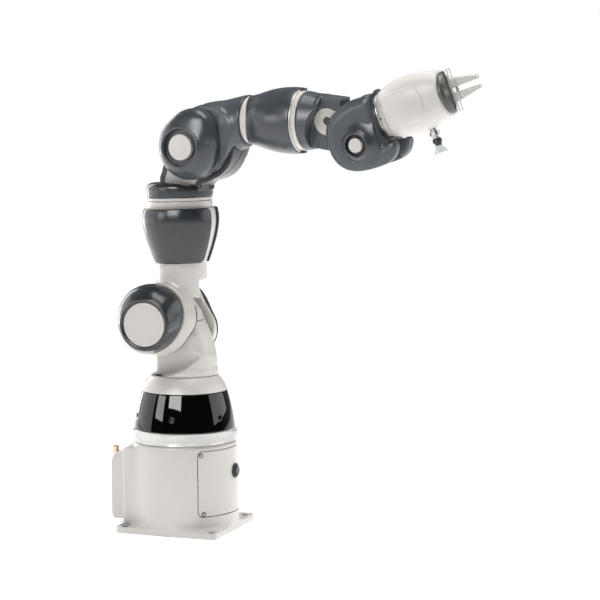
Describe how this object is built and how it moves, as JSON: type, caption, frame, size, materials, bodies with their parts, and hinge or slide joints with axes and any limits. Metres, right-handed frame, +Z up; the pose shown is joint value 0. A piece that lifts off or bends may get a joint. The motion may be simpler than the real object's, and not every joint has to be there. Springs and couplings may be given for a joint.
{
  "type": "collaborative robot arm",
  "caption": "Single seven-axis collaborative robot arm on a round base housing, with rounded white and slate covers, a lit ring, a wrist and a two-finger parallel gripper.",
  "frame": {"origin": "centre of the foot plate's underside, on the first (vertical) joint axis", "axes": "+Z up along the first joint axis; +X towards the front cover with the brake button, the way the arm reaches at rest; +Y to the left seen from behind the arm"},
  "size_m": [0.5711, 0.1678, 0.6771],
  "materials": {
    "white_paint": "satin warm white enamel",
    "white_cover": "smooth white moulded cover",
    "slate_cover": "slate grey, soft satin",
    "slate_metal": "slate grey paint",
    "dark_trim": "near-black trim",
    "gloss_black": "glossy black",
    "clear_ring": "clear with a frosted inner face",
    "bare_metal": "machined",
    "steel": "ground steel",
    "brass": "machined brass",
    "board": "circuit board",
    "connector": "black connector shell",
    "finger_grey": "light anodised"
  },
  "bodies": {
    "base": {"base_casting": "white_paint", "front_cover": "white_paint", "base_screws": "steel", "connector_panel": "white_paint", "panel_connectors": "connector", "air_fitting": "brass", "light_ring": "clear_ring", "led_board": "board", "band_cover": "gloss_black", "shoulder_cap": "white_cover", "joint1_drive": "steel", "joint1_bearing": "steel", "drive_boards": "board", "button_switch": "connector"},
    "brake_button": {"brake_button": "gloss_black"},
    "shoulder": {"joint1_hub": "bare_metal", "shoulder_casting": "white_paint", "shoulder_cover": "white_cover", "shoulder_screws": "steel", "joint2_drive": "bare_metal"},
    "upper_arm": {"joint2_hub": "bare_metal", "upper_casting": "white_paint", "upper_front_cap": "slate_cover", "upper_rear_cap": "slate_cover", "upper_discs": "white_cover", "upper_front_pad": "slate_cover", "upper_rear_pad": "slate_cover", "upper_ring": "white_cover", "joint7_drive": "bare_metal"},
    "elbow_swivel": {"joint7_hub": "bare_metal", "swivel_casting": "white_paint", "swivel_collar": "dark_trim", "swivel_strap": "dark_trim", "joint3_drive": "bare_metal"},
    "forearm": {"joint3_hub": "bare_metal", "elbow_casting": "slate_metal", "elbow_front_cap": "slate_cover", "elbow_rear_cap": "slate_cover", "elbow_discs": "white_cover", "neck_ring": "white_cover", "forearm_casting": "slate_metal", "wrist_ring": "white_cover", "joint4_drive": "bare_metal"},
    "wrist": {"joint4_hub": "bare_metal", "wrist_casting": "slate_metal", "wrist_plates": "white_cover", "wrist_strap": "dark_trim", "joint5_drive": "bare_metal"},
    "hand": {"joint5_hub": "bare_metal", "hand_casting": "slate_metal", "hand_caps": "slate_cover", "hand_discs": "white_cover", "flange_seal": "dark_trim", "joint6_drive": "bare_metal"},
    "gripper": {"tool_flange": "bare_metal", "gripper_shell": "white_cover", "finger_rail": "bare_metal", "suction_tool": "brass"},
    "upper_finger": {"upper_finger": "finger_grey"},
    "lower_finger": {"lower_finger": "finger_grey"}
  },
  "joints": [
    {"name": "brake_button_press", "type": "slide", "parent": "base", "child": "brake_button", "axis": [-1, 0, 0], "range_m": [0, 0.003], "stiffness_N_per_m": 600, "springref_m": -0.002},
    {"name": "axis1_base_turn", "type": "hinge", "parent": "base", "child": "shoulder", "pos_m": [0, 0, 0.23], "axis": [0, 0, 1], "range_deg": [-168.5, 168.5]},
    {"name": "axis2_shoulder_bend", "type": "hinge", "parent": "shoulder", "child": "upper_arm", "pos_m": [-0.03, 0, 0.312], "axis": [0, 1, 0], "range_deg": [-142, 45]},
    {"name": "axis7_upper_arm_turn", "type": "hinge", "parent": "upper_arm", "child": "elbow_swivel", "pos_m": [-0.00453, 0, 0.48556], "axis": [-0.0262, 0, 0.9997], "range_deg": [-162, 175]},
    {"name": "axis3_elbow_bend", "type": "hinge", "parent": "elbow_swivel", "child": "forearm", "pos_m": [0.035, -0.00474, 0.56535], "axis": [0.1132, 0.9936, 0.003], "range_deg": [-125.5, 74]},
    {"name": "axis4_wrist_turn", "type": "hinge", "parent": "forearm", "child": "wrist", "pos_m": [0.19889, -0.02352, 0.60438], "axis": [-0.9935, 0.1131, 0.0089], "range_deg": [-283.5, 296.5]},
    {"name": "axis5_wrist_bend", "type": "hinge", "parent": "wrist", "child": "hand", "pos_m": [0.29875, -0.03174, 0.57667], "axis": [0.1134, 0.9867, 0.1161], "range_deg": [-31.5, 152]},
    {"name": "axis6_tool_turn", "type": "hinge", "parent": "hand", "child": "gripper", "pos_m": [0.31741, -0.03793, 0.61107], "axis": [0.9408, -0.1442, 0.3067], "range_deg": [-229, 229]},
    {"name": "upper_finger_slide", "type": "slide", "parent": "gripper", "child": "upper_finger", "axis": [-0.3194, -0.0745, 0.9447], "range_m": [-0.0034, 0.0215]},
    {"name": "lower_finger_slide", "type": "slide", "parent": "gripper", "child": "lower_finger", "axis": [0.3194, 0.0745, -0.9447], "range_m": [-0.0034, 0.0215]}
  ],
  "couplings": [
    {"joint": "lower_finger_slide", "follows": "upper_finger_slide", "ratio": 1}
  ]
}
